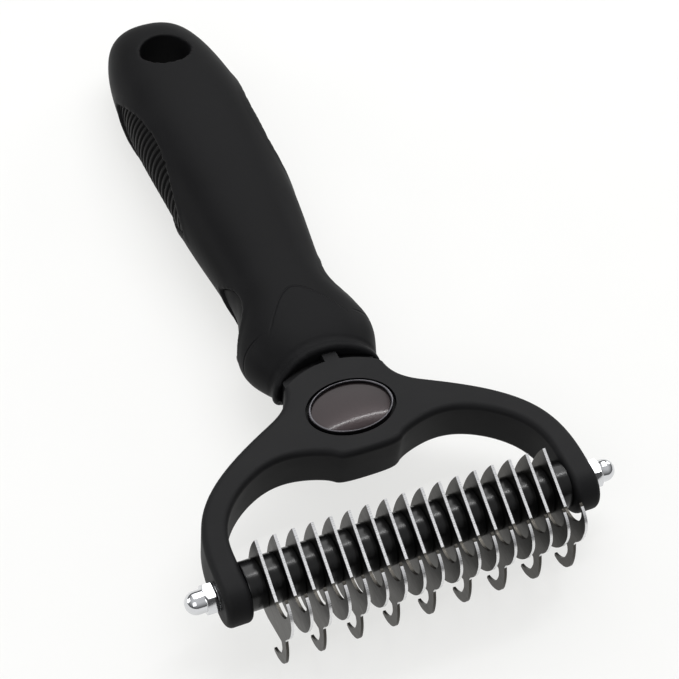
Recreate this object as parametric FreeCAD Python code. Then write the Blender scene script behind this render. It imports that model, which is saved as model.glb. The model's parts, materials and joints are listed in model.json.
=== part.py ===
"""Dematting comb: a moulded fork on a soft-grip handle, carrying thin hooked blades on one axle.

Millimetres. X runs along the axle, +Y from the blades to the handle's butt, +Z up, away from the
long hooks. The drawing below is made about the axle's centre, and every piece is moved at the end
so that the origin is under the middle of the whole comb, on the plane of its lowest point.
"""
import FreeCAD, Part
import math
import os

V = FreeCAD.Vector

# ---- driving dimensions ---------------------------------------------------------------------
BLADE_COUNT = 17
BLADE_THICK = 0.7
SPACER_LENGTH = 3.9
PITCH = BLADE_THICK + SPACER_LENGTH
SPACER_RADIUS = 6.0

ROD_RADIUS = 2.0            # M4 axle
ROD_CLEARANCE = 0.05        # radial, in every bore on the axle
ROD_HALF_LENGTH = 53.0

ARM_INNER = 41.4            # inner face of a fork arm, from the centre
ARM_OUTER = 47.9
FORK_HALF_THICK = 6.4
FORK_EDGE_RADIUS = 1.5
ARM_END_CENTRE = -1.8       # the rounded arm end, in side view
NECK_HALF_WIDTH = 13.2
NECK_END = 56.0
TANG_HALF_WIDTH = 10.0
TANG_HALF_THICK = 3.5
TANG_END = 92.0

HUB_CENTRE_Y = 28.0         # centre of the arcs where the fork meets the handle's mouth
HUB_RADIUS = 21.7
MOUTH_RADIUS = 24.0
STEM_HALF_WIDTH = 12.2      # the neck behind the hub's round edge
STEM_HALF_THICK = 3.8
KEY_X = 1.2
KEY_HALF_WIDTH = 1.9

BADGE_Y = 34.8
BADGE_HALF_X = 10.85
BADGE_HALF_Y = 7.55
BADGE_RIM = 0.65
BADGE_GROOVE = 0.75         # open groove around the badge
BADGE_RECESS = 1.8
BADGE_PROUD = 0.5
BADGE_CROWN = 1.1

GRIP_THICK = 2.4
GRIP_FIT = 0.05
CORE_START = 57.0           # the core's flat front face, behind the grip's solid lip
HOLE_Y = 169.7
HOLE_RADIUS = 7.2
HOLE_SLEEVE = 1.8
PAD_SINK = 0.7              # the rib crests below the grip's skin
PAD_FLOOR = 1.75
PIN_RADIUS = 1.5
PIN_Y = 78.0

WASHER_RADIUS = 3.3
WASHER_THICK = 0.3
NUT_ACROSS_FLATS = 7.0
NUT_HEX_LENGTH = 2.8
NUT_LENGTH = 7.3
NUT_DOME_RADIUS = 2.8
NUT_BORE_DEPTH = 5.2

# Handle stations from mouth to butt: y, half width, half thickness, height of the middle.
HANDLE_STATIONS = [
    (45.0, 13.9, 7.3, -0.2),
    (50.0, 14.4, 8.1, -0.8),
    (54.0, 15.8, 9.5, -1.6),
    (58.5, 17.4, 11.2, -2.4),
    (63.5, 17.9, 12.0, -2.9),
    (69.0, 16.6, 11.8, -3.0),
    (76.0, 14.2, 10.9, -2.8),
    (84.0, 13.7, 10.4, -3.0),
    (94.0, 14.7, 11.1, -3.0),
    (108.0, 16.3, 12.4, -2.9),
    (124.0, 17.4, 13.3, -2.6),
    (138.0, 18.1, 13.7, -2.8),
    (150.0, 18.1, 13.5, -3.6),
    (162.0, 17.3, 12.8, -4.6),
    (172.0, 16.0, 11.7, -5.3),
    (180.0, 14.0, 10.2, -5.7),
    (186.0, 10.8, 7.8, -5.9),
    (189.0, 6.6, 4.6, -6.0),
    (190.2, 2.6, 1.9, -6.0),
]
BUTT_END = 190.2
SECTION_POWER = 2.3         # superellipse power of the handle's cross-section
SECTION_POINTS = 24

# Flank pads: middle y, half length, half height, middle z.
LONG_PAD = (135.4, 26.4, 8.9, -3.2)
SHORT_PAD = (76.6, 10.6, 5.6, -2.9)

COMB_FRONT = -18.1          # foremost point of the blades
COMB_BOTTOM = -17.44        # lowest point of the handle
ORIGIN_SHIFT = V(0, -(COMB_FRONT + BUTT_END) / 2, -COMB_BOTTOM)


# ---- small helpers --------------------------------------------------------------------------
def write(name, shape):
    """Move a finished piece into the comb's frame and write it."""
    placed = shape.copy()
    placed.translate(ORIGIN_SHIFT)
    placed.exportStep("parts/" + name + ".step")


def box(low, high):
    """A box between two corners."""
    size = [high[i] - low[i] for i in range(3)]
    return Part.makeBox(size[0], size[1], size[2], V(*low))


def line(a, b):
    return Part.LineSegment(a, b).toShape()


def arc(a, b, c):
    return Part.Arc(a, b, c).toShape()


def spline(points, start=None, end=None):
    """A smooth curve through the points, with optional end directions."""
    curve = Part.BSplineCurve()
    if start is None:
        curve.interpolate(points)
    else:
        curve.interpolate(Points=points, InitialTangent=start, FinalTangent=end)
    return curve.toShape()


def tube(inner, outer, start, length):
    """A plain ring along X from x = start."""
    ring = Part.makeCylinder(outer, length, V(start, 0, 0), V(1, 0, 0))
    return ring.cut(Part.makeCylinder(inner, length, V(start, 0, 0), V(1, 0, 0)))


def mirror_x(shape):
    return shape.mirror(V(0, 0, 0), V(1, 0, 0))


def rounded_bar(half_width, half_thick, low_y, high_y, radius):
    """A bar along Y with its four long edges rounded."""
    bar = box((-half_width, low_y, -half_thick), (half_width, high_y, half_thick))
    long_edges = [e for e in bar.Edges if abs(e.tangentAt(e.FirstParameter).y) > 0.9]
    return bar.makeFillet(radius, long_edges)


# ---- blades and axle ------------------------------------------------------------------------
def blade_outline(hooked):
    """Closed outline of a blade in the YZ plane; hooked blades carry the long lower hook."""
    def p(y, z):
        return V(0, y, z)

    apex = p(4.7, 10.8)
    back = p(7.3, -3.1)
    heel = p(4.6, -7.2)
    belly = p(-5.5, -7.2)
    edges = [
        line(apex, p(-8.8, 4.9)),
        arc(p(-8.8, 4.9), p(-13.6, 5.9), p(-15.4, 9.8)),
        arc(p(-15.4, 9.8), p(-14.8, 11.6), p(-13.3, 12.6)),
        line(p(-13.3, 12.6), p(-13.4, 13.0)),
        arc(p(-13.4, 13.0), p(-16.8, 11.0), p(-18.1, 6.6)),
    ]
    if hooked:
        edges += [
            arc(p(-18.1, 6.6), p(-17.7, 3.4), p(-16.3, 0.6)),
            arc(p(-16.3, 0.6), p(-15.9, -0.6), p(-16.0, -1.8)),
            arc(p(-16.0, -1.8), p(-16.8, -4.6), p(-17.0, -7.6)),
            arc(p(-17.0, -7.6), p(-16.2, -10.8), p(-13.9, -13.1)),
            arc(p(-13.9, -13.1), p(-12.2, -13.9), p(-10.4, -14.0)),
            line(p(-10.4, -14.0), p(-10.3, -13.2)),
            arc(p(-10.3, -13.2), p(-13.0, -11.3), p(-14.4, -7.6)),
            arc(p(-14.4, -7.6), p(-14.4, -6.0), p(-13.6, -4.5)),
            line(p(-13.6, -4.5), belly),
        ]
    else:
        edges += [
            arc(p(-18.1, 6.6), p(-16.4, 0.9), p(-12.4, -3.6)),
            line(p(-12.4, -3.6), belly),
        ]
    edges += [
        line(belly, heel),
        arc(heel, p(6.7, -5.8), back),
        arc(back, p(6.9, 3.8), apex),
    ]
    return Part.Wire(edges)


def blade(index):
    """One pressed blade, centred on its place along the axle."""
    middle = (index - (BLADE_COUNT - 1) / 2) * PITCH
    face = Part.Face(blade_outline(hooked=index % 2 == 0))
    plate = face.extrude(V(BLADE_THICK, 0, 0))
    plate.translate(V(middle - BLADE_THICK / 2, 0, 0))
    bore = Part.makeCylinder(ROD_RADIUS + ROD_CLEARANCE, 2, V(middle - 1, 0, 0), V(1, 0, 0))
    return plate.cut(bore)


def spacer(start, length):
    """A moulded sleeve on the axle, with a small chamfer at each end."""
    sleeve = tube(ROD_RADIUS + ROD_CLEARANCE, SPACER_RADIUS, start, length)
    rims = [e for e in sleeve.Edges if e.Length > 2 * math.pi * SPACER_RADIUS - 0.1]
    rims = [e for e in rims if e.Closed]
    return sleeve.makeChamfer(0.25, rims)


def axle_rod():
    """The threaded rod, drawn at its thread's outer radius with chamfered ends."""
    rod = Part.makeCylinder(ROD_RADIUS, 2 * ROD_HALF_LENGTH, V(-ROD_HALF_LENGTH, 0, 0), V(1, 0, 0))
    return rod.makeChamfer(0.4, [e for e in rod.Edges if e.Closed])


def washer():
    return tube(ROD_RADIUS + ROD_CLEARANCE, WASHER_RADIUS, ARM_OUTER, WASHER_THICK)


def cap_nut():
    """Domed cap nut on the +X end: hexagon with turned corners, dome, blind thread bore."""
    start = ARM_OUTER + WASHER_THICK
    corner = NUT_ACROSS_FLATS / math.sqrt(3)
    corners = []
    for k in range(7):
        angle = math.radians(60 * k)
        corners.append(V(start, corner * math.cos(angle), corner * math.sin(angle)))
    hexagon = Part.Face(Part.makePolygon(corners)).extrude(V(NUT_HEX_LENGTH, 0, 0))
    turned = Part.makeCylinder(corner, NUT_HEX_LENGTH, V(start, 0, 0), V(1, 0, 0))
    turned = turned.makeChamfer(0.35, [e for e in turned.Edges if e.Closed])
    hexagon = hexagon.common(turned)

    end = start + NUT_LENGTH
    shoulder = end - NUT_DOME_RADIUS
    body = Part.makeCylinder(NUT_DOME_RADIUS, shoulder - start, V(start, 0, 0), V(1, 0, 0))
    dome = Part.makeSphere(NUT_DOME_RADIUS, V(shoulder, 0, 0))
    bore = Part.makeCylinder(ROD_RADIUS + ROD_CLEARANCE, NUT_BORE_DEPTH, V(start, 0, 0), V(1, 0, 0))
    return hexagon.fuse([body, dome]).cut(bore).removeSplitter()


# ---- fork -----------------------------------------------------------------------------------
def fork_plan():
    """Half of the arch seen from above, x >= 0, closed along the middle line."""
    outer = [V(NECK_HALF_WIDTH, 47.5, 0), V(22.0, 36.3, 0), V(41.0, 23.2, 0), V(ARM_OUTER, 3.0, 0)]
    inner = [V(ARM_INNER, 6.2, 0), V(38.4, 16.4, 0), V(29.0, 24.2, 0), V(18.6, 26.2, 0),
             V(9.4, 23.4, 0), V(0, 21.6, 0)]
    front = -12.0
    edges = [
        line(V(0, NECK_END, 0), V(NECK_HALF_WIDTH, NECK_END, 0)),
        line(V(NECK_HALF_WIDTH, NECK_END, 0), outer[0]),
        spline(outer, V(0, -1, 0), V(0, -1, 0)),
        line(outer[-1], V(ARM_OUTER, front, 0)),
        line(V(ARM_OUTER, front, 0), V(ARM_INNER, front, 0)),
        line(V(ARM_INNER, front, 0), inner[0]),
        spline(inner, V(0, 1, 0), V(-1, 0, 0)),
        line(inner[-1], V(0, NECK_END, 0)),
    ]
    return Part.Face(Part.Wire(edges))


def fork_blank():
    """The arch as one plate with round arm ends and rounded edges."""
    half = fork_plan()
    half.translate(V(0, 0, -FORK_HALF_THICK))
    half = half.extrude(V(0, 0, 2 * FORK_HALF_THICK))
    plate = half.fuse(mirror_x(half)).removeSplitter()
    keep = box((-60, ARM_END_CENTRE, -20), (60, 100, 20))
    round_end = Part.makeCylinder(FORK_HALF_THICK, 120, V(-60, ARM_END_CENTRE, 0), V(1, 0, 0))
    plate = plate.common(keep.fuse(round_end))

    rounded = []
    for edge in plate.Edges:
        middle = edge.valueAt((edge.FirstParameter + edge.LastParameter) / 2)
        along = edge.tangentAt((edge.FirstParameter + edge.LastParameter) / 2)
        flat_edge = abs(abs(middle.z) - FORK_HALF_THICK) < 1e-4
        end_edge = middle.y < ARM_END_CENTRE - 1 and abs(along.x) < 0.1
        cross_edge = abs(along.x) > 0.99 and middle.y < ARM_END_CENTRE + 1e-3
        if (flat_edge or end_edge) and not cross_edge and middle.y < NECK_END - 0.1:
            rounded.append(edge)
    return plate.makeFillet(FORK_EDGE_RADIUS, rounded)


def key_block(reach, low_y, high_y):
    """The upright key just beside the middle of the neck, grown by reach."""
    half = KEY_HALF_WIDTH + reach
    tall = FORK_HALF_THICK + reach
    return box((KEY_X - half, low_y, -tall), (KEY_X + half, high_y, tall))


def stem_block(reach, low_y, high_y):
    """The flat stem that enters the handle, grown by reach."""
    wide = STEM_HALF_WIDTH + reach
    tall = STEM_HALF_THICK + reach
    return box((-wide, low_y, -tall), (wide, high_y, tall))


def hub_step():
    """What is cut away behind the hub's round edge, leaving the stem and its key."""
    shoulder = HUB_CENTRE_Y + math.sqrt(HUB_RADIUS ** 2 - NECK_HALF_WIDTH ** 2)
    block = box((-20, shoulder, -10), (20, NECK_END + 1, 10))
    hub = Part.makeCylinder(HUB_RADIUS, 30, V(0, HUB_CENTRE_Y, -15))
    kept = stem_block(0, 38, 80).fuse(key_block(0, 38, 80))
    return block.cut(hub).cut(kept)


def ellipse_prism(half_x, half_y, low_z, high_z):
    """An upright oval block around the badge's centre."""
    centre = V(0, BADGE_Y, low_z)
    curve = Part.Ellipse(centre, half_x, half_y).toShape()
    return Part.Face(Part.Wire(curve)).extrude(V(0, 0, high_z - low_z))


def fork_frame():
    """The moulded fork with its tang, badge recess, axle bores and pin hole."""
    tang = rounded_bar(TANG_HALF_WIDTH, TANG_HALF_THICK, NECK_END - 2, TANG_END, 1.0)
    fork = fork_blank().cut(hub_step()).fuse(tang).removeSplitter()
    recess = ellipse_prism(BADGE_HALF_X + BADGE_GROOVE, BADGE_HALF_Y + BADGE_GROOVE,
                           FORK_HALF_THICK - BADGE_RECESS, FORK_HALF_THICK + 5)
    fork = fork.cut(recess)
    bore = Part.makeCylinder(ROD_RADIUS + ROD_CLEARANCE, 120, V(-60, 0, 0), V(1, 0, 0))
    pin_hole = Part.makeCylinder(PIN_RADIUS + 0.03, 20, V(0, PIN_Y, -10))
    return fork.cut(bore).cut(pin_hole)


# ---- badge ----------------------------------------------------------------------------------
def oval(profile):
    """Turn a closed XZ profile about the badge's axis, then squeeze the circle to the oval."""
    turned = Part.Face(profile).revolve(V(0, 0, 0), V(0, 0, 1), 360)
    squeeze = FreeCAD.Matrix()
    squeeze.scale(1, BADGE_HALF_Y / BADGE_HALF_X, 1)
    squeezed = turned.transformGeometry(squeeze)
    squeezed.translate(V(0, BADGE_Y, 0))
    return Part.Solid(squeezed.Shells[0]) if squeezed.ShapeType != "Solid" else squeezed


def badge_ring():
    """The bright rim, a flat-bottomed ring with a round top."""
    low = FORK_HALF_THICK - BADGE_RECESS
    high = FORK_HALF_THICK + BADGE_PROUD
    inner = BADGE_HALF_X - BADGE_RIM
    shoulder = high - BADGE_RIM / 2
    middle = (inner + BADGE_HALF_X) / 2
    profile = Part.Wire([
        line(V(inner, 0, low), V(BADGE_HALF_X, 0, low)),
        line(V(BADGE_HALF_X, 0, low), V(BADGE_HALF_X, 0, shoulder)),
        arc(V(BADGE_HALF_X, 0, shoulder), V(middle, 0, high), V(inner, 0, shoulder)),
        line(V(inner, 0, shoulder), V(inner, 0, low)),
    ])
    return oval(profile)


def badge_dome():
    """The domed oval plate inside the rim."""
    edge = BADGE_HALF_X - BADGE_RIM - 0.05
    low = FORK_HALF_THICK - BADGE_RECESS + 0.5
    rim = FORK_HALF_THICK - 0.2
    crown = rim + BADGE_CROWN
    profile = Part.Wire([
        line(V(0, 0, low), V(edge, 0, low)),
        line(V(edge, 0, low), V(edge, 0, rim)),
        arc(V(edge, 0, rim), V(edge * 0.55, 0, rim + BADGE_CROWN * 0.7), V(0, 0, crown)),
        line(V(0, 0, crown), V(0, 0, low)),
    ])
    return oval(profile)


def badge_adhesive():
    """The foam pad that holds the badge in its recess."""
    low = FORK_HALF_THICK - BADGE_RECESS
    shrink = BADGE_RIM + 0.3
    return ellipse_prism(BADGE_HALF_X - shrink, BADGE_HALF_Y - shrink, low, low + 0.45)


# ---- handle ---------------------------------------------------------------------------------
def handle_section(station, inset):
    """One closed cross-section of the handle, drawn inset from the skin."""
    y, half_width, half_thick, middle = station
    wide = half_width - inset
    tall = half_thick - inset
    points = []
    for k in range(SECTION_POINTS):
        angle = 2 * math.pi * k / SECTION_POINTS
        c = math.cos(angle)
        s = math.sin(angle)
        x = wide * math.copysign(abs(c) ** (2 / SECTION_POWER), c)
        z = tall * math.copysign(abs(s) ** (2 / SECTION_POWER), s)
        points.append(V(x, y, middle + z))
    curve = Part.BSplineCurve()
    even = [k / SECTION_POINTS for k in range(SECTION_POINTS + 1)]
    curve.interpolate(Points=points, Parameters=even, PeriodicFlag=True)
    return Part.Wire(curve.toShape())


def handle_body(inset):
    """The handle's outer form, or the same form inset by a wall thickness."""
    end = BUTT_END - inset
    stations = [s for s in HANDLE_STATIONS if s[2] > inset + 1.5 and s[0] <= end]
    sections = [handle_section(s, inset) for s in stations]
    return Part.makeLoft(sections, True, False)


def socket():
    """Room for the fork's neck and tang."""
    fit = GRIP_FIT
    neck = stem_block(fit, 40, NECK_END + fit).fuse(key_block(fit, 40, NECK_END + fit))
    tang = rounded_bar(TANG_HALF_WIDTH + fit, TANG_HALF_THICK + fit, 40, TANG_END + fit, 1.0)
    return neck.fuse(tang)


def lens_prism(pad, grow):
    """A block along X through the left flank with a pointed-oval outline."""
    mid_y, half_length, half_height, mid_z = pad
    half_length += grow
    half_height += grow
    x = -25.0
    front = V(x, mid_y - half_length, mid_z)
    rear = V(x, mid_y + half_length, mid_z)
    wire = Part.Wire([
        arc(front, V(x, mid_y, mid_z + half_height), rear),
        arc(rear, V(x, mid_y, mid_z - half_height), front),
    ])
    return Part.Face(wire).extrude(V(18, 0, 0))


def flank_pad(pad, skins):
    """A soft pad let into the left flank, drawn to the crests of its ribs."""
    return lens_prism(pad, 0).common(skins["pad_top"]).cut(skins["pad_floor"])


def largest_solid(shape):
    return max(shape.Solids, key=lambda s: s.Volume)


def handle_grip(skins):
    """The soft skin over the core, with its mouth, hanging hole and flank pockets."""
    sleeve_radius = HOLE_RADIUS + HOLE_SLEEVE
    cavity = skins["cavity"].cut(box((-30, 0, -30), (30, CORE_START - GRIP_FIT, 30)))
    cavity = cavity.cut(Part.makeCylinder(sleeve_radius, 60, V(0, HOLE_Y, -30)))
    mouth = Part.makeCylinder(MOUTH_RADIUS, 60, V(0, HUB_CENTRE_Y, -30))
    grip = skins["outer"].cut(mouth).cut(cavity).cut(socket())
    for pad in (LONG_PAD, SHORT_PAD):
        pocket = lens_prism(pad, 0.1).cut(skins["pocket_floor"])
        grip = grip.cut(pocket).cut(mirror_x(pocket))
    grip = grip.cut(Part.makeCylinder(HOLE_RADIUS, 60, V(0, HOLE_Y, -30)))
    return largest_solid(grip)


def handle_core(skins):
    """The hard body inside the grip, with the socket, pin hole and room for the hole's sleeve."""
    core = skins["core"].cut(box((-30, 0, -30), (30, CORE_START, 30))).cut(socket())
    room = HOLE_RADIUS + HOLE_SLEEVE + GRIP_FIT
    core = core.cut(Part.makeCylinder(room, 60, V(0, HOLE_Y, -30)))
    core = core.cut(Part.makeCylinder(PIN_RADIUS + 0.03, 14.0, V(0, PIN_Y, -9.6)))
    return largest_solid(core)


def tang_pin():
    """The steel pin across core and tang."""
    return Part.makeCylinder(PIN_RADIUS, 13.9, V(0, PIN_Y, -9.55))


# ---- the whole comb -------------------------------------------------------------------------
def build_handle():
    skins = {
        "outer": handle_body(0),
        "pad_top": handle_body(PAD_SINK),
        "pad_floor": handle_body(PAD_FLOOR),
        "pocket_floor": handle_body(PAD_FLOOR + GRIP_FIT),
        "cavity": handle_body(GRIP_THICK - GRIP_FIT),
        "core": handle_body(GRIP_THICK),
    }
    write("handle_grip", handle_grip(skins))
    write("handle_core", handle_core(skins))
    write("tang_pin", tang_pin())
    for name, pad in (("long", LONG_PAD), ("short", SHORT_PAD)):
        left = flank_pad(pad, skins)
        write("left_" + name + "_pad", left)
        write("right_" + name + "_pad", mirror_x(left))


def build_fork():
    write("fork_frame", fork_frame())
    write("badge_ring", badge_ring())
    write("badge_dome", badge_dome())
    write("badge_adhesive", badge_adhesive())


def build_axle():
    write("axle_rod", axle_rod())
    for index in range(BLADE_COUNT):
        write("blade_%02d" % (index + 1), blade(index))
    first = -(BLADE_COUNT - 1) / 2 * PITCH + BLADE_THICK / 2
    for index in range(BLADE_COUNT - 1):
        write("spacer_%02d" % (index + 1), spacer(first + index * PITCH, SPACER_LENGTH))
    outer_blade = (BLADE_COUNT - 1) / 2 * PITCH + BLADE_THICK / 2
    end_spacer = spacer(outer_blade, ARM_INNER - outer_blade)
    for name, shape in (("end_spacer", end_spacer), ("washer", washer()), ("cap_nut", cap_nut())):
        write(name + "_right", shape)
        write(name + "_left", mirror_x(shape))


os.makedirs("parts", exist_ok=True)
build_axle()
build_fork()
build_handle()
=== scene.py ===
"""Looks of the dematting comb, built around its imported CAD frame.

Metres, in the comb's frame: X along the axle, +Y from the blades to the handle's butt, +Z up.
Sizes are written in millimetres about the middle of the axle, as they would be measured on the comb.
"""
import bmesh
import bpy
import json
import math
from mathutils import Matrix, Vector

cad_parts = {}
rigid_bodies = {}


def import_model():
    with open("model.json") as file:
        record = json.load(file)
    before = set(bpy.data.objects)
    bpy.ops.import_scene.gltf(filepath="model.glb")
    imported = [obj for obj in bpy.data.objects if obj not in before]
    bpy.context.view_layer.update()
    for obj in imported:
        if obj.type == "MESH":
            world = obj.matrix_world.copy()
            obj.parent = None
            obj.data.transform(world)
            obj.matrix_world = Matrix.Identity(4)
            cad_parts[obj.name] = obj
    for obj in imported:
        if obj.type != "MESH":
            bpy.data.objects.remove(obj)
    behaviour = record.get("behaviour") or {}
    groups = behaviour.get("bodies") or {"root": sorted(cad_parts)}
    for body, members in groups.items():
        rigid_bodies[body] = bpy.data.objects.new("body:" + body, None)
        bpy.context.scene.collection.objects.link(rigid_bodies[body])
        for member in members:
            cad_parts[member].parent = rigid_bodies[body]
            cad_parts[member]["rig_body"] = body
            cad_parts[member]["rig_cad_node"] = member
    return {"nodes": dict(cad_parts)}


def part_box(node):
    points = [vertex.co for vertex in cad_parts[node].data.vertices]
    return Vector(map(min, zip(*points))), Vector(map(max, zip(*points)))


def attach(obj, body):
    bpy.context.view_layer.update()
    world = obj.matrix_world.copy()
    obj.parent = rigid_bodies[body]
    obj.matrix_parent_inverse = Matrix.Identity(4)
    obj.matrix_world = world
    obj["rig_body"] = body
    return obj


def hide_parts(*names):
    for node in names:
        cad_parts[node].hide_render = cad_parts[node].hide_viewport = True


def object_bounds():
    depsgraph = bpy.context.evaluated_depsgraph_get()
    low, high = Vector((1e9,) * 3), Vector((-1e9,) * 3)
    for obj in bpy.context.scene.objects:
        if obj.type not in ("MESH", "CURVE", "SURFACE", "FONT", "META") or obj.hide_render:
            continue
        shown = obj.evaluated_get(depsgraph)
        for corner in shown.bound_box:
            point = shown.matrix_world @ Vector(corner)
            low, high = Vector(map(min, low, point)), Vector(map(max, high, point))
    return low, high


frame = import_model()
cad_low, cad_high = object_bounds()

MM = 0.001
rod_low, rod_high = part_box("axle_rod")
AXLE = (rod_low + rod_high) / 2

# ---- sizes in millimetres, from the axle's middle -------------------------------------------
BLADE_COUNT = 17
PITCH = 4.6
GROUND_EDGE = 0.2           # bevel of the cutting edges
EDGE_BREAK = 0.12           # tumbled edge all round a pressed blade
CUT_FRONT_OF = -8.7         # cutting edges lie in front of here
BRIGHT_ABOVE = -1.2         # below this height the long hooks' edges take the dull rolled steel
SIDE_TILT = 0.3             # a face leaning more than this towards X is a blade's side
HOLLOW_TILT = -0.35         # a front face leaning less than this forwards is in a hollow, where its edge takes the dull steel as painted shade
SQUARE_CORNER = 1.2         # radians; only sharper corners than this are tumbled round

SPACER_RIM = 0.35           # moulded radius on a spacer's rims
SPACER_BORE = 2.05

NUT_FLATS = 7.0
NUT_HEX = 2.8
NUT_DOME = 2.8
NUT_BORE = 2.05
NUT_BORE_DEPTH = 5.2
NUT_CHAMFER = 0.55          # the hexagon's turned corners
NUT_EDGE = 0.07             # rounding of every sharp edge

MOUTH_CENTRE = 28.0         # the mouth's arc, centre and radius
MOUTH_RADIUS = 24.0
PANEL_APEX = 73.8           # where the thumb rest's edge line comes to a point
CREASE_FOOT = 61.05         # where the crease down each flank crosses the axle's height

RIB_PITCH = 2.2
RIB_SLOT = 1.0
RIB_DEPTH = 0.75

GRIP_VOXEL = 0.5            # fineness of the grip's mesh
INNER_FROM = 56             # reach of the grip's hidden inner wall
INNER_TO = 158
INNER_HALF_WIDTH = 16.5
INNER_DROP = 3              # its middle lies this far below the axle
SKIN_DEPTH = 4              # the grip's outer skin lies further than this from its middle line
PAD_BEADS = ((0.2, 2.2, 0.08), (0.4, 1.7, 0.08), (0.6, 1.3, 0.06))     # from, to, height
LIP_BANDS = ((0.0, 2.2, 0.22), (0.2, 1.9, 0.22), (0.6, 1.5, 0.12), (2.6, 4.0, -0.12))


# ---- small helpers --------------------------------------------------------------------------
def place(x, y, z):
    """A point measured from the axle's middle, as a place in the comb's frame."""
    return AXLE + Vector((x, y, z)) * MM


def measured(point):
    """A place in the comb's frame, as millimetres from the axle's middle."""
    return (Vector(point) - AXLE) / MM


def take(piece):
    """Select this piece alone and make it active."""
    bpy.ops.object.select_all(action="DESELECT")
    piece.hide_viewport = False
    piece.select_set(True)
    bpy.context.view_layer.objects.active = piece


def named(name):
    """Name the piece that was just added."""
    piece = bpy.context.object
    piece.name = name
    piece.data.name = name
    return piece


def settle(piece):
    """Put the piece's place into its mesh."""
    take(piece)
    bpy.ops.object.transform_apply(location=True, rotation=True, scale=True)
    return piece


def edit(piece, kind):
    """Enter edit mode with nothing selected and return the mesh being edited."""
    take(piece)
    bpy.ops.object.mode_set(mode="EDIT")
    bpy.ops.mesh.select_mode(type=kind)
    bpy.ops.mesh.select_all(action="DESELECT")
    return bmesh.from_edit_mesh(piece.data)


def done():
    bpy.ops.object.mode_set(mode="OBJECT")


def choose(piece, items, test):
    """Select the vertices, edges or faces that pass the test; return how many there are."""
    count = 0
    for item in items:
        if test(item):
            item.select_set(True)
            count += 1
    bmesh.update_edit_mesh(piece.data)
    return count


def modify(piece, kind, **settings):
    """Add one modifier and apply it."""
    take(piece)
    bpy.ops.object.modifier_add(type=kind)
    modifier = piece.modifiers[-1]
    for key, value in settings.items():
        setattr(modifier, key, value)
    bpy.ops.object.modifier_apply(modifier=modifier.name)


def combine(piece, other, operation):
    """Join, cut or intersect with another piece, which is used up."""
    modify(piece, "BOOLEAN", object=other, operation=operation, solver="EXACT")
    bpy.data.objects.remove(other)


def smooth(piece, degrees):
    """Shade smooth across edges flatter than this."""
    take(piece)
    bpy.ops.object.shade_smooth_by_angle(angle=math.radians(degrees))


def copy_of(node, name):
    """A merged copy of a CAD node, free to be shaped."""
    take(frame["nodes"][node])
    bpy.ops.object.duplicate()
    piece = named(name)
    bpy.ops.object.parent_clear(type="CLEAR_KEEP_TRANSFORM")
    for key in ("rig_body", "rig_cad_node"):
        del piece[key]
    bpy.ops.mesh.customdata_custom_splitnormals_clear()
    edit(piece, "VERT")
    bpy.ops.mesh.select_all(action="SELECT")
    bpy.ops.mesh.remove_doubles(threshold=0.0005 * MM)
    done()
    return piece


def repeat(piece, name, shift):
    """A copy of a finished piece with its own mesh, moved along."""
    take(piece)
    bpy.ops.object.duplicate()
    other = named(name)
    bpy.ops.transform.translate(value=shift)
    return settle(other)


def mirrored(piece, name):
    """The piece's opposite hand, with its faces turned back out."""
    take(piece)
    bpy.ops.object.duplicate()
    other = named(name)
    other.scale.x = -1
    settle(other)
    edit(other, "FACE")
    bpy.ops.mesh.select_all(action="SELECT")
    bpy.ops.mesh.normals_make_consistent(inside=False)
    done()
    return other


# ---- materials ------------------------------------------------------------------------------
def tint(code):
    """An sRGB hex colour as linear values."""
    parts = [int(code[i:i + 2], 16) / 255 for i in (1, 3, 5)]
    linear = [c / 12.92 if c <= 0.04045 else ((c + 0.055) / 1.055) ** 2.4 for c in parts]
    return linear + [1.0]


def node(tree, kind, settings):
    """Add a node; each setting is a property, a socket's value or a link into a socket."""
    made = tree.nodes.new(kind)
    for key, value in settings.items():
        if isinstance(value, bpy.types.NodeSocket):
            tree.links.new(value, made.inputs[key])
        elif isinstance(key, str) and key not in made.inputs:
            setattr(made, key, value)
        else:
            made.inputs[key].default_value = value
    return made.outputs[0]


def material(name):
    """A new material; returns it with its tree, its shader and the object coordinates."""
    made = bpy.data.materials.new(name)
    made.use_nodes = True
    tree = made.node_tree
    shader = tree.nodes["Principled BSDF"]
    place_node = tree.nodes.new("ShaderNodeTexCoord")
    return made, tree, shader, place_node.outputs["Object"]


def grain(tree, where, size, detail=2.0):
    """Even noise whose lumps are about this many millimetres across."""
    return node(tree, "ShaderNodeTexNoise", {
        "Vector": where, "Scale": 1 / (size * MM), "Detail": detail, "Roughness": 0.55})


def drawn_out(tree, where, stretch):
    """Coordinates stretched along one axis, for rolled or brushed lines."""
    return node(tree, "ShaderNodeMapping", {"Vector": where, "Scale": stretch})


def between(tree, value, low, high, start=0.3, end=0.7):
    """Map a noise value to a range."""
    return node(tree, "ShaderNodeMapRange", {
        "Value": value, "From Min": start, "From Max": end, "To Min": low, "To Max": high})


def mixed_colour(tree, value, first, second):
    """Mix two colours; the colour comes from the node's third output."""
    mix = node(tree, "ShaderNodeMix", {
        "data_type": "RGBA", 0: value, 6: tint(first), 7: tint(second)})
    return mix.node.outputs[2]


def bump(tree, height, distance, strength=1.0, normal=None):
    """Bump of a real depth in millimetres."""
    settings = {"Height": height, "Distance": distance * MM, "Strength": strength}
    if normal is not None:
        settings["Normal"] = normal
    return node(tree, "ShaderNodeBump", settings)


def maths(tree, operation, a, b=0.0, c=0.0):
    """One sum on one, two or three values."""
    return node(tree, "ShaderNodeMath", {"operation": operation, 0: a, 1: b, 2: c})


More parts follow.
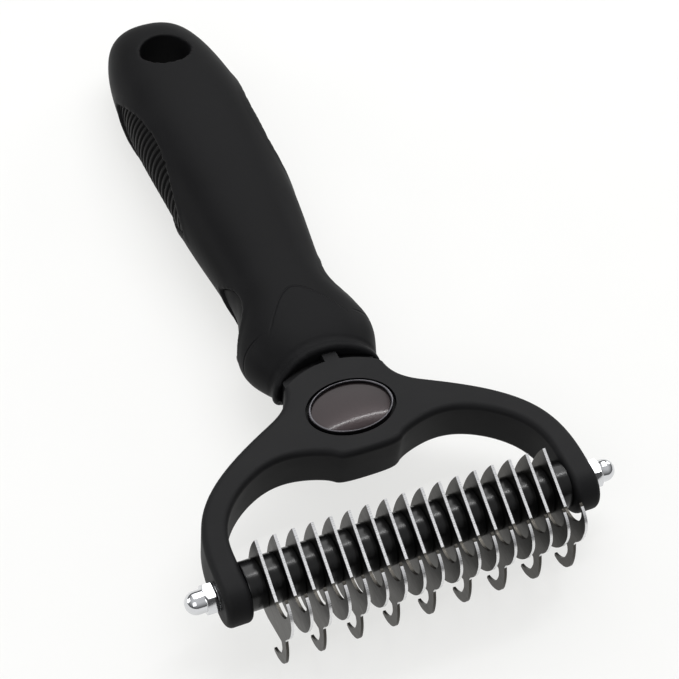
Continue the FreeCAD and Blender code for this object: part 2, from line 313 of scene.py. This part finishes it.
def soft_touch_rubber():
    """Thermoplastic rubber moulded in a spark-eroded tool: black, matt, with a fine even grain
    and broad, faint differences in gloss."""
    made, tree, shader, where = material("soft_touch_rubber")
    cloud = grain(tree, where, 16)
    colour = mixed_colour(tree, between(tree, cloud, 0, 1), "#0d0d0e", "#111112")
    tree.links.new(colour, shader.inputs["Base Color"])
    tree.links.new(between(tree, cloud, 0.48, 0.56), shader.inputs["Roughness"])
    # spark grain is about 0.1 mm; drawn 0.5 mm so that it can be seen
    fine = bump(tree, grain(tree, where, 0.5, 3.0), 0.022, 0.5)
    seams = bump(tree, thumb_panel_line(tree, where), 0.25, 0.7, fine)
    crease = bump(tree, flank_crease(tree, where), 0.45, 0.9, seams)
    tree.links.new(crease, shader.inputs["Normal"])
    shader.inputs["Specular IOR Level"].default_value = 0.055
    return made


def axis_mm(tree, where, axis):
    """One coordinate in millimetres from the axle's middle."""
    split = node(tree, "ShaderNodeSeparateXYZ", {"Vector": where}).node
    offset = maths(tree, "SUBTRACT", split.outputs[axis], AXLE[axis])
    return maths(tree, "DIVIDE", offset, MM)


def line_profile(tree, distance, half_width):
    """Zero on the line and one beside it."""
    away = maths(tree, "ABSOLUTE", distance)
    return node(tree, "ShaderNodeMapRange", {
        "interpolation_type": "SMOOTHSTEP", "Value": away, "From Min": 0.0,
        "From Max": half_width, "To Min": 0.0, "To Max": 1.0})


def fade(tree, value, start, end):
    """One below start, none above end."""
    return node(tree, "ShaderNodeMapRange", {
        "interpolation_type": "SMOOTHSTEP", "Value": value, "From Min": start,
        "From Max": end, "To Min": 1.0, "To Max": 0.0})


def line_height(tree, profile, shown):
    """Keep a line's dip only where it is shown."""
    dip = maths(tree, "SUBTRACT", 1.0, profile)
    kept = maths(tree, "MULTIPLY", dip, shown)
    return maths(tree, "SUBTRACT", 1.0, kept)


def thumb_panel_line(tree, where):
    """The pointed arch that edges the thumb rest on top of the flare: x squared against a
    parabola in the distance in front of the apex."""
    x = axis_mm(tree, where, 0)
    back = maths(tree, "SUBTRACT", PANEL_APEX, axis_mm(tree, where, 1))
    bulge = maths(tree, "MULTIPLY", back, maths(tree, "MULTIPLY_ADD", back, 0.3, 6.0))
    gap = maths(tree, "SUBTRACT", maths(tree, "MULTIPLY", x, x), bulge)
    slope = maths(tree, "MULTIPLY_ADD", maths(tree, "ABSOLUTE", back), 1.6, 6.0)
    distance = maths(tree, "DIVIDE", gap, slope)
    profile = line_profile(tree, distance, 0.45)
    on_top = fade(tree, maths(tree, "MULTIPLY", axis_mm(tree, where, 2), -1.0), -7.5, -4.5)
    ahead = fade(tree, maths(tree, "MULTIPLY", back, -1.0), 0.5, 1.5)
    shown = maths(tree, "MULTIPLY", on_top, fade(tree, back, 9.0, 13.0))
    shown = maths(tree, "MULTIPLY", shown, ahead)
    return line_height(tree, profile, shown)


def flank_crease(tree, where):
    """The short moulding crease down each side of the flare, behind the mouth."""
    z = axis_mm(tree, where, 2)
    lean = maths(tree, "MULTIPLY_ADD", z, 0.27, CREASE_FOOT)
    distance = maths(tree, "SUBTRACT", axis_mm(tree, where, 1), lean)
    profile = line_profile(tree, distance, 0.5)
    below = fade(tree, z, 4.5, 7.0)
    above = fade(tree, maths(tree, "MULTIPLY", z, -1.0), 2.0, 5.0)
    return line_height(tree, profile, maths(tree, "MULTIPLY", below, above))


def ribbed_rubber():
    """The same rubber on the side pads, a shade darker."""
    made, tree, shader, where = material("ribbed_pad_rubber")
    cloud = grain(tree, where, 6)
    colour = mixed_colour(tree, between(tree, cloud, 0, 1), "#090909", "#0d0d0e")
    tree.links.new(colour, shader.inputs["Base Color"])
    tree.links.new(between(tree, cloud, 0.45, 0.58), shader.inputs["Roughness"])
    # spark grain, drawn 0.4 mm so that it can be seen
    tree.links.new(bump(tree, grain(tree, where, 0.4, 3.0), 0.03, 0.6), shader.inputs["Normal"])
    shader.inputs["Specular IOR Level"].default_value = 0.07
    return made


def moulded_abs():
    """ABS moulded in a spark-eroded tool: satin black with fine grain and faint flow marks."""
    made, tree, shader, where = material("moulded_abs")
    flow = grain(tree, drawn_out(tree, where, (0.6, 1.0, 1.0)), 9)
    colour = mixed_colour(tree, between(tree, flow, 0, 1), "#0e0e0f", "#131314")
    tree.links.new(colour, shader.inputs["Base Color"])
    tree.links.new(between(tree, flow, 0.54, 0.64), shader.inputs["Roughness"])
    # mould grain of 0.15 mm, drawn 0.45 mm
    tree.links.new(bump(tree, grain(tree, where, 0.45, 2.0), 0.016, 0.5), shader.inputs["Normal"])
    shader.inputs["Specular IOR Level"].default_value = 0.11
    return made


def gloss_nylon():
    """Moulded nylon sleeve: black and glossy, with very faint rings from the tool."""
    made, tree, shader, where = material("gloss_nylon_sleeve")
    rings = grain(tree, drawn_out(tree, where, (1.0, 0.15, 0.15)), 1.2)
    tree.links.new(mixed_colour(tree, rings, "#060606", "#0a0a0b"), shader.inputs["Base Color"])
    tree.links.new(between(tree, rings, 0.22, 0.26), shader.inputs["Roughness"])
    tree.links.new(bump(tree, rings, 0.004, 0.4), shader.inputs["Normal"])
    shader.inputs["Specular IOR Level"].default_value = 0.3
    return made


def rolled_stainless():
    """Stainless strip, pressed and tumbled: grey metal with fine rolling lines along the blade. On
    the edges in the hollows behind the points it is painted shade.
    """
    made, tree, shader, where = material("rolled_stainless")
    # rolling lines are about 0.05 mm; drawn 0.25 mm
    lines = grain(tree, drawn_out(tree, where, (1.0, 0.06, 1.0)), 0.25, 3.0)
    cloud = grain(tree, where, 3.5)
    tree.links.new(mixed_colour(tree, cloud, "#363431", "#43413d"), shader.inputs["Base Color"])
    shader.inputs["Metallic"].default_value = 1.0
    tree.links.new(between(tree, lines, 0.32, 0.44), shader.inputs["Roughness"])
    tree.links.new(bump(tree, lines, 0.006, 0.5), shader.inputs["Normal"])
    return made


def ground_stainless():
    """The blades' sheared and ground edges: the same steel, bright and finely scratched."""
    made, tree, shader, where = material("ground_stainless")
    scratches = grain(tree, drawn_out(tree, where, (0.1, 1.0, 1.0)), 0.2, 2.0)
    tree.links.new(mixed_colour(tree, scratches, "#d6d6d7", "#e2e2e3"), shader.inputs["Base Color"])
    shader.inputs["Metallic"].default_value = 1.0
    tree.links.new(between(tree, scratches, 0.24, 0.36), shader.inputs["Roughness"])
    tree.links.new(bump(tree, scratches, 0.002, 0.4), shader.inputs["Normal"])
    return made


def bright_chrome():
    """Bright chrome plate: mirror-like, with faint swirl from polishing."""
    made, tree, shader, where = material("bright_chrome")
    swirl = grain(tree, where, 1.2, 4.0)
    tree.links.new(mixed_colour(tree, swirl, "#cfd0d3", "#dddee0"), shader.inputs["Base Color"])
    shader.inputs["Metallic"].default_value = 1.0
    tree.links.new(between(tree, swirl, 0.06, 0.12), shader.inputs["Roughness"])
    tree.links.new(bump(tree, swirl, 0.004, 0.4), shader.inputs["Normal"])
    return made


def satin_plate():
    """Satin chrome plate on the badge's thin rim: grey, softly reflecting."""
    made, tree, shader, where = material("satin_chrome_plate")
    satin = grain(tree, where, 0.4, 3.0)
    tree.links.new(mixed_colour(tree, satin, "#454447", "#525154"), shader.inputs["Base Color"])
    shader.inputs["Metallic"].default_value = 1.0
    tree.links.new(between(tree, satin, 0.32, 0.42), shader.inputs["Roughness"])
    tree.links.new(bump(tree, satin, 0.003, 0.4), shader.inputs["Normal"])
    return made


def gunmetal():
    """Gunmetal-tinted plate under clear lacquer, with a fine vertical brush."""
    made, tree, shader, where = material("lacquered_gunmetal")
    brushed = grain(tree, drawn_out(tree, where, (1.0, 0.04, 1.0)), 0.3, 2.0)
    tree.links.new(mixed_colour(tree, brushed, "#181213", "#1f1819"), shader.inputs["Base Color"])
    shader.inputs["Metallic"].default_value = 0.85
    tree.links.new(between(tree, brushed, 0.30, 0.38), shader.inputs["Roughness"])
    shader.inputs["Coat Weight"].default_value = 0.22
    shader.inputs["Coat Roughness"].default_value = 0.1
    return made


def zinc_steel(name, pitch):
    """Zinc-plated steel; a pitch gives it the grooves of a thread."""
    made, tree, shader, where = material(name)
    spangle = grain(tree, where, 0.8, 2.0)
    tree.links.new(mixed_colour(tree, spangle, "#a9abad", "#bfc1c4"), shader.inputs["Base Color"])
    shader.inputs["Metallic"].default_value = 1.0
    tree.links.new(between(tree, spangle, 0.22, 0.34), shader.inputs["Roughness"])
    if pitch:
        x = axis_mm(tree, where, 0)
        turn = maths(tree, "MULTIPLY", x, 2 * math.pi / pitch)
        tree.links.new(bump(tree, maths(tree, "SINE", turn), 0.18, 1.0), shader.inputs["Normal"])
    return made


def inner_material(name, light, dark, rough):
    """A plain moulded or foamed part that sits out of sight."""
    made, tree, shader, where = material(name)
    cells = grain(tree, where, 0.7, 3.0)
    tree.links.new(mixed_colour(tree, cells, dark, light), shader.inputs["Base Color"])
    tree.links.new(between(tree, cells, rough - 0.08, rough + 0.08), shader.inputs["Roughness"])
    tree.links.new(bump(tree, cells, 0.03, 0.5), shader.inputs["Normal"])
    return made


def coat(piece, finish):
    piece.data.materials.clear()
    piece.data.materials.append(finish)


# ---- blades and axle ------------------------------------------------------------------------
def blade(node_name, name):
    """One pressed blade: tumbled round all its corners, with ground cutting edges. The edge
    itself is bright, except on the long hook below a set height, where it takes the dull rolled
    steel, and in the hollows behind the points, where the dull steel is painted shade."""
    piece = copy_of(node_name, name)
    edit(piece, "FACE")
    bpy.ops.mesh.select_all(action="SELECT")
    bpy.ops.mesh.dissolve_limited(angle_limit=math.radians(0.5))
    done()

    def outline(edge):
        """A square corner between a side and the sheared edge."""
        level = abs(edge.verts[0].co.x - edge.verts[1].co.x) < 1e-7
        return level and len(edge.link_faces) == 2 and edge.calc_face_angle() > SQUARE_CORNER

    def cutting(edge):
        """A corner of the sheared edge that looks back towards the handle."""
        side = [f for f in edge.link_faces if abs(f.normal.x) < 0.5]
        spot = measured((edge.verts[0].co + edge.verts[1].co) / 2)
        return outline(edge) and spot.y < CUT_FRONT_OF and side and side[0].normal.y > 0.3

    mesh = edit(piece, "EDGE")
    choose(piece, mesh.edges, cutting)
    bpy.ops.mesh.bevel(offset=GROUND_EDGE * MM, segments=1, affect="EDGES", clamp_overlap=True)
    done()
    mesh = edit(piece, "EDGE")
    choose(piece, mesh.edges, outline)
    bpy.ops.mesh.bevel(offset=EDGE_BREAK * MM, segments=1, affect="EDGES", clamp_overlap=True)
    done()
    piece.data.materials.clear()
    piece.data.materials.append(finishes["rolled"])
    piece.data.materials.append(finishes["ground"])
    for face in piece.data.polygons:
        spot = measured(face.center)
        side = abs(face.normal.x) > SIDE_TILT
        # edges in the hollows behind the points take the dull steel: painted shade
        shaded_hollow = spot.y < CUT_FRONT_OF and face.normal.y > HOLLOW_TILT
        dull_or_shaded = side or shaded_hollow or spot.z < BRIGHT_ABOVE
        face.material_index = 0 if dull_or_shaded else 1
    smooth(piece, 25)
    return piece


def blades():
    """Seventeen blades, hooked and plain in turn."""
    for first, kind in ((1, "hooked"), (2, "plain")):
        source = "blade_%02d" % first
        pattern = blade(source, "%s_blade_%02d" % (kind, first))
        for index in range(first, BLADE_COUNT + 1, 2):
            piece = pattern
            if index > first:
                shift = ((index - first) * PITCH * MM, 0, 0)
                piece = repeat(pattern, "%s_blade_%02d" % (kind, index), shift)
            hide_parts("blade_%02d" % index)
            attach(piece, "comb")


def sleeve(node_name, name):
    """A moulded spacer: a thick tube with rounded rims."""
    low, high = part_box(node_name)
    outer = (high.z - low.z) / 2
    bpy.ops.object.select_all(action="DESELECT")
    bpy.ops.mesh.primitive_cylinder_add(
        vertices=64, radius=outer, depth=high.x - low.x, end_fill_type="NOTHING",
        location=(low + high) / 2, rotation=(0, math.pi / 2, 0))
    piece = settle(named(name))
    modify(piece, "SOLIDIFY", thickness=outer - SPACER_BORE * MM, offset=-1, use_even_offset=True)
    modify(piece, "BEVEL", width=SPACER_RIM * MM, segments=3, limit_method="ANGLE",
           angle_limit=math.radians(50))
    smooth(piece, 35)
    coat(piece, finishes["nylon"])
    return piece


def spacers():
    pattern = sleeve("spacer_01", "spacer_sleeve_01")
    for index in range(1, BLADE_COUNT):
        piece = pattern
        if index > 1:
            piece = repeat(pattern, "spacer_sleeve_%02d" % index, ((index - 1) * PITCH * MM, 0, 0))
        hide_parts("spacer_%02d" % index)
        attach(piece, "comb")
    for side in ("left", "right"):
        piece = sleeve("end_spacer_" + side, "end_sleeve_" + side)
        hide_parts("end_spacer_" + side)
        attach(piece, "comb")


def cap_nut():
    """The right-hand cap nut: turned hexagon, long dome, blind bore, all edges broken."""
    low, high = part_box("cap_nut_right")
    hex_length = NUT_HEX * MM
    dome = NUT_DOME * MM
    corner = NUT_FLATS * MM / math.sqrt(3)
    hex_middle = Vector((low.x + hex_length / 2, AXLE.y, AXLE.z))
    along_x = (0, math.pi / 2, 0)

    bpy.ops.object.select_all(action="DESELECT")
    bpy.ops.mesh.primitive_cylinder_add(vertices=6, radius=corner, depth=hex_length,
                                        location=hex_middle, rotation=along_x)
    piece = settle(named("cap_nut_right_bright"))
    bpy.ops.mesh.primitive_cylinder_add(vertices=96, radius=corner * 0.995, depth=hex_length,
                                        location=hex_middle, rotation=along_x)
    turned = settle(named("turned_hexagon"))
    modify(turned, "BEVEL", width=NUT_CHAMFER * MM, segments=1, limit_method="ANGLE",
           angle_limit=math.radians(50))
    combine(piece, turned, "INTERSECT")

    shoulder = high.x - dome
    bpy.ops.mesh.primitive_uv_sphere_add(segments=64, ring_count=32, radius=dome,
                                         location=(shoulder, AXLE.y, AXLE.z), rotation=along_x)
    cap = settle(named("nut_dome"))
    edit(cap, "FACE")
    bpy.ops.mesh.select_all(action="SELECT")
    bpy.ops.mesh.bisect(plane_co=(shoulder + 1e-6, AXLE.y, AXLE.z), plane_no=(1, 0, 0),
                        clear_inner=True)
    done()
    mesh = edit(cap, "EDGE")
    choose(cap, mesh.edges, lambda e: e.is_boundary)
    reach = low.x + 0.4 * hex_length - shoulder
    bpy.ops.mesh.extrude_region_move(TRANSFORM_OT_translate={"value": (reach, 0, 0)})
    bpy.ops.mesh.edge_face_add()
    bpy.ops.mesh.select_all(action="SELECT")
    bpy.ops.mesh.normals_make_consistent(inside=False)
    done()
    combine(piece, cap, "UNION")

    depth = NUT_BORE_DEPTH * MM
    bpy.ops.mesh.primitive_cylinder_add(vertices=48, radius=NUT_BORE * MM, depth=2 * depth,
                                        location=(low.x, AXLE.y, AXLE.z), rotation=along_x)
    combine(piece, settle(named("nut_bore")), "DIFFERENCE")
    modify(piece, "BEVEL", width=NUT_EDGE * MM, segments=2, limit_method="ANGLE",
           angle_limit=math.radians(24))
    smooth(piece, 30)
    coat(piece, finishes["chrome"])
    return piece


def nuts():
    right = cap_nut()
    left = mirrored(right, "cap_nut_left_bright")
    smooth(left, 30)
    for piece, side in ((right, "right"), (left, "left")):
        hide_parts("cap_nut_" + side)
        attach(piece, side + "_nut")


# ---- handle ---------------------------------------------------------------------------------
def lens(node_name):
    """A pad's pointed-oval outline: the two arc centres (y, z) and their radius."""
    low, high = (measured(corner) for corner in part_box(node_name))
    half_length = (high.y - low.y) / 2
    half_height = (high.z - low.z) / 2
    radius = (half_length ** 2 + half_height ** 2) / (2 * half_height)
    middle_y = (low.y + high.y) / 2
    middle_z = (low.z + high.z) / 2
    drop = radius - half_height
    return (Vector((middle_y, middle_z - drop)), Vector((middle_y, middle_z + drop))), radius


def outside_lens(outline, spot):
    """How far a point on the flank lies outside the outline; negative inside."""
    centres, radius = outline
    flat = Vector((spot.y, spot.z))
    return max((flat - centre).length for centre in centres) - radius


def raise_band(piece, test, height):
    """Push the skin out where the test holds."""
    mesh = edit(piece, "VERT")
    choose(piece, mesh.verts, test)
    bpy.ops.transform.shrink_fatten(value=height * MM)
    done()


def handle_grip():
    """The soft skin: rolled lip round the mouth, a bead round each pad, soft rims everywhere."""
    piece = copy_of("handle_grip", "handle_grip_skin")
    voxel = GRIP_VOXEL
    modify(piece, "REMESH", mode="VOXEL", voxel_size=voxel * MM, use_smooth_shade=True)
    modify(piece, "SMOOTH", factor=0.5, iterations=5)
    pads = [lens("left_long_pad"), lens("left_short_pad")]

    def outer(vertex):
        """On the outside of the skin; the handle's middle line drops 2.8 mm behind the mouth."""
        spot = measured(vertex.co)
        centre_z = -0.2 - 2.8 * min(1, max(0, (spot.y - 45) / 20))
        return vertex.normal.x * spot.x + vertex.normal.z * (spot.z - centre_z) > SKIN_DEPTH

    def around_pad(inner, outer_edge):
        def test(vertex):
            spot = measured(vertex.co)
            if abs(spot.x) < 8 or not outer(vertex):
                return False
            return any(inner < outside_lens(pad, spot) < outer_edge for pad in pads)
        return test

    for inner, outer_edge, height in PAD_BEADS:
        raise_band(piece, around_pad(inner, outer_edge), height)

    def behind_mouth(near, far):
        def test(vertex):
            spot = measured(vertex.co)
            if spot.y > 60 or not outer(vertex):
                return False
            gap = math.hypot(spot.x, spot.y - MOUTH_CENTRE) - MOUTH_RADIUS
            return near < gap < far
        return test

    for near, far, height in LIP_BANDS:
        raise_band(piece, behind_mouth(near, far), height)
    modify(piece, "SMOOTH", factor=0.5, iterations=3)
    thin_inside(piece, outer)
    coat(piece, finishes["rubber"])
    smooth(piece, 180)
    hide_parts("handle_grip")
    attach(piece, "comb")


def thin_inside(piece, outer):
    """Use fewer faces on the unseen inner wall."""
    inside = piece.vertex_groups.new(name="inside")
    mesh = bmesh.new()
    mesh.from_mesh(piece.data)
    mesh.normal_update()
    hidden = []
    for vertex in mesh.verts:
        spot = measured(vertex.co)
        within = INNER_FROM < spot.y < INNER_TO and abs(spot.x) < INNER_HALF_WIDTH
        inwards = vertex.normal.x * spot.x + vertex.normal.z * (spot.z + INNER_DROP) < -2
        if within and inwards and not outer(vertex):
            hidden.append(vertex.index)
    mesh.free()
    inside.add(hidden, 1.0, "REPLACE")
    modify(piece, "DECIMATE", ratio=0.72, vertex_group="inside", vertex_group_factor=10)


def ribbed_pad(node_name, name):
    """A long flank pad with ribs across it, on a common backing."""
    piece = copy_of(node_name, name)
    low, high = (measured(corner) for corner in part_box(node_name))
    middle = (low.y + high.y) / 2
    backing = copy_of(node_name, "pad_backing")
    take(backing)
    bpy.ops.transform.translate(value=(RIB_DEPTH * MM, 0, 0))
    settle(backing)

    bpy.ops.object.select_all(action="DESELECT")
    count = int((high.y - low.y) / RIB_PITCH)
    bpy.ops.mesh.primitive_cube_add(size=1, location=place(low.x, middle, (low.z + high.z) / 2))
    slots = named("pad_slots")
    slots.scale = Vector((8, RIB_SLOT, high.z - low.z + 4)) * MM
    settle(slots)
    start = -(count - 1) / 2 * RIB_PITCH * MM
    bpy.ops.transform.translate(value=(0, start, 0))
    settle(slots)
    modify(slots, "ARRAY", count=count, use_relative_offset=False, use_constant_offset=True,
           constant_offset_displace=(0, RIB_PITCH * MM, 0))
    combine(slots, backing, "DIFFERENCE")
    combine(piece, slots, "DIFFERENCE")
    modify(piece, "REMESH", mode="VOXEL", voxel_size=0.22 * MM,
           use_smooth_shade=True)
    modify(piece, "SMOOTH", factor=0.5, iterations=3)
    return piece


def short_pad(node_name, name):
    """A short flank pad with softened edges."""
    piece = copy_of(node_name, name)
    modify(piece, "REMESH", mode="VOXEL", voxel_size=0.25 * MM, use_smooth_shade=True)
    modify(piece, "SMOOTH", factor=0.5, iterations=3)
    return piece


def pads():
    for kind, make in (("long", ribbed_pad), ("short", short_pad)):
        left = make("left_%s_pad" % kind, "left_%s_ribs" % kind)
        coat(left, finishes["ribbed"])
        smooth(left, 180)
        right = mirrored(left, "right_%s_ribs" % kind)
        for piece, side in ((left, "left"), (right, "right")):
            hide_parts("%s_%s_pad" % (side, kind))
            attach(piece, "comb")


# ---- carried-over CAD nodes -----------------------------------------------------------------
def carried_over():
    """CAD nodes whose shape is already right, in their real finishes."""
    for name, finish in (
            ("fork_frame", "abs"), ("badge_ring", "satin"), ("badge_dome", "gunmetal"),
            ("badge_adhesive", "foam"), ("handle_core", "core"), ("tang_pin", "pin"),
            ("axle_rod", "thread"), ("washer_left", "washer"), ("washer_right", "washer")):
        piece = frame["nodes"][name]
        for slot in piece.material_slots:
            slot.material = finishes[finish]


# ---- stage ----------------------------------------------------------------------------------
def floor():
    """A plain pale tabletop: a sheet of opal acrylic, lit from below."""
    bpy.ops.object.select_all(action="DESELECT")
    bpy.ops.mesh.primitive_plane_add(size=6, location=(0, 0, cad_low.z - 0.0002))
    piece = named("studio_floor")
    made, tree, shader, where = material("opal_acrylic_sheet")
    mottle = grain(tree, where, 40)
    tree.links.new(mixed_colour(tree, mottle, "#767676", "#7a7a7a"), shader.inputs["Base Color"])
    tree.links.new(between(tree, mottle, 0.80, 0.90), shader.inputs["Roughness"])
    shader.inputs["Specular IOR Level"].default_value = 0.0
    shader.inputs["Emission Color"].default_value = tint("#fdfdfb")
    shader.inputs["Emission Strength"].default_value = 0.69
    piece.data.materials.append(made)


def softbox(name, towards, distance, size, power, along=(1, 0, 0), tall=None):
    """A soft area light facing the comb: direction, distance and sizes in metres, watts, the
    way its long side runs, and its other side where it isn't square."""
    back = Vector(towards).normalized()
    wide = Vector(along)
    wide = (wide - back * wide.dot(back)).normalized()
    turned = Matrix((wide, back.cross(wide), back)).transposed().to_4x4()
    bpy.ops.object.select_all(action="DESELECT")
    bpy.ops.object.light_add(type="AREA")
    lamp = bpy.context.object
    lamp.name = name
    lamp.matrix_world = Matrix.Translation(back * distance) @ turned
    lamp.data.shape = "RECTANGLE"
    lamp.data.size = size
    lamp.data.size_y = tall or size
    lamp.data.energy = power


def studio():
    """Soft studio light: a surround that darkens towards the horizon, softboxes over and beside
    the comb, and one narrow strip for the badge."""
    world = bpy.data.worlds.new("studio_surround")
    world.use_nodes = True
    tree = world.node_tree
    background = tree.nodes["Background"]
    background.inputs["Color"].default_value = tint("#f4f5f6")
    direction = tree.nodes.new("ShaderNodeTexCoord").outputs["Generated"]
    height = node(tree, "ShaderNodeSeparateXYZ", {"Vector": direction}).node.outputs["Z"]
    tree.links.new(between(tree, height, 0.10, 0.75, 0.1, 0.8), background.inputs["Strength"])
    bpy.context.scene.world = world
    softbox("rear_top", (0.15, 0.55, 0.80), 1.1, 1.2, 12.0)
    softbox("left_fill", (-1.0, 0.45, 0.35), 1.1, 0.5, 3.5, along=(0, 1, 0))
    softbox("right_fill", (1.0, 0.5, 0.4), 1.1, 0.4, 2.5, along=(0, 1, 0))
    softbox("front_left", (-0.6, -0.7, 0.75), 1.1, 0.5, 3.0)
    softbox("badge_strip", (0.30, 0.12, 0.945), 0.7, 0.55, 1.6, along=(1, 0.1, 0), tall=0.018)
    bpy.context.scene.view_settings.view_transform = "Standard"


def camera():
    """The comb seen from its left front, 51 degrees above the table, slightly rolled."""
    azimuth = math.radians(27.96)
    elevation = math.radians(51.05)
    roll = math.radians(6.42)
    target = place(7.889, 59.524, 0)
    distance = 459.09 * MM
    back = Vector((-math.sin(azimuth) * math.cos(elevation),
                   -math.cos(azimuth) * math.cos(elevation), math.sin(elevation)))
    level = Vector((0, 0, 1)).cross(back).normalized()
    upright = back.cross(level)
    right = level * math.cos(roll) + upright * math.sin(roll)
    up = upright * math.cos(roll) - level * math.sin(roll)
    bpy.ops.object.camera_add()
    made = bpy.context.object
    turned = Matrix((right, up, back)).transposed().to_4x4()
    made.matrix_world = Matrix.Translation(target + back * distance) @ turned
    made.data.sensor_width = 36
    made.data.lens = 95.43
    made.data.clip_start = 0.01
    bpy.context.scene.camera = made


finishes = {
    "rubber": soft_touch_rubber(),
    "ribbed": ribbed_rubber(),
    "abs": moulded_abs(),
    "nylon": gloss_nylon(),
    "rolled": rolled_stainless(),
    "ground": ground_stainless(),
    "chrome": bright_chrome(),
    "satin": satin_plate(),
    "gunmetal": gunmetal(),
    "thread": zinc_steel("zinc_plated_thread", 0.7),
    "washer": zinc_steel("zinc_plated_washer", 0),
    "pin": zinc_steel("plain_steel_pin", 0),
    "foam": inner_material("acrylic_foam_tape", "#3a3a3a", "#242424", 0.8),
    "core": inner_material("moulded_polypropylene", "#1c1c1c", "#141414", 0.5),
}
blades()
spacers()
nuts()
handle_grip()
pads()
carried_over()
floor()
studio()
camera()
